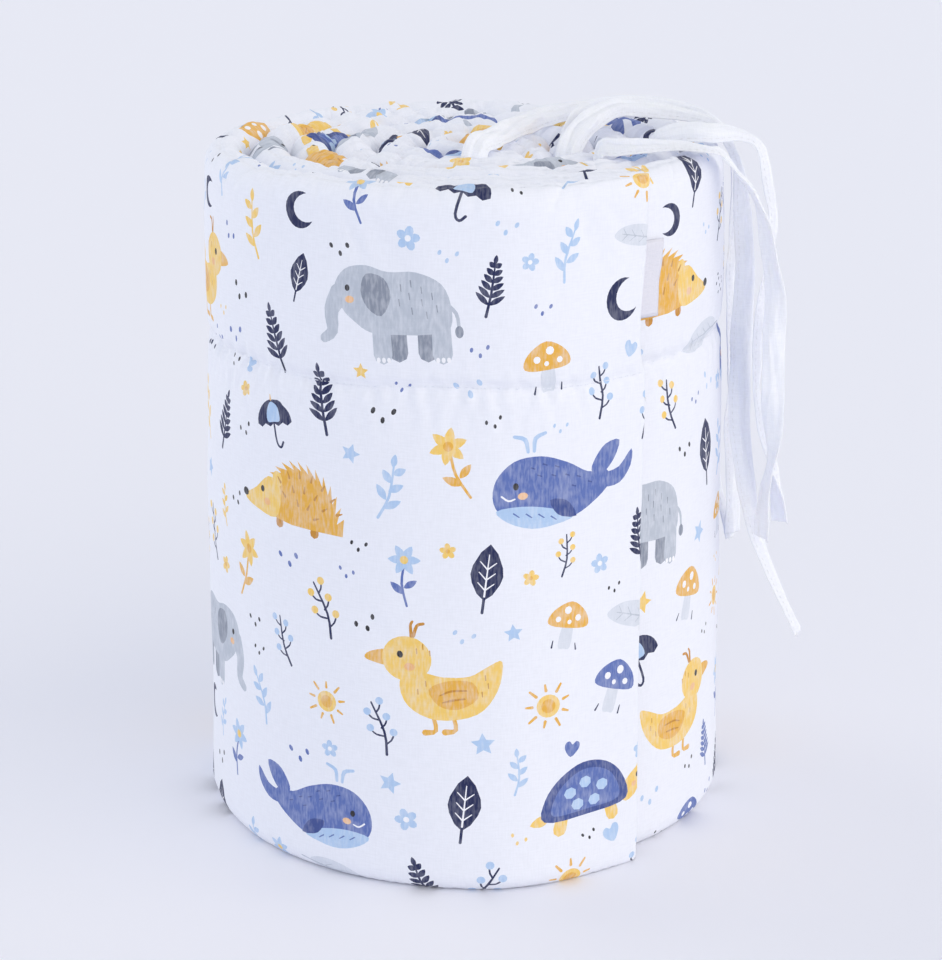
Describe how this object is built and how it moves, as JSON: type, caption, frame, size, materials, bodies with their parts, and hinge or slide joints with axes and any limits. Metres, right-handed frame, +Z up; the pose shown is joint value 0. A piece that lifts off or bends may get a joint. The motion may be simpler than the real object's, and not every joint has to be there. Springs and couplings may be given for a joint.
{
  "type": "rolled crib bumper",
  "caption": "Padded cotton crib bumper rolled up on its long edge, with sewn channel, tape ties hanging from the top edge and a bare side tag.",
  "frame": {"origin": "The middle of the roll's base, on the surface that it stands on, under the folded start of the pad.", "axes": "+Z up along the roll's axis. -Y is the front, which the picture shows. +X is to the right of it, where the ties hang."},
  "size_m": [0.2691, 0.2438, 0.3148],
  "materials": {
    "printed_cotton": "white plain-weave cotton with a scattered nursery print in navy, blues, mustard and grey",
    "tape_cotton": "soft white cotton tape",
    "tag_cotton": "off-white woven tag, bare"
  },
  "bodies": {
    "root": {"bumper_roll": "printed_cotton", "tie_1a": "tape_cotton", "tie_1b": "tape_cotton", "tie_2a": "tape_cotton", "tie_2b": "tape_cotton", "tie_3": "tape_cotton", "label_tag": "tag_cotton"}
  },
  "joints": []
}
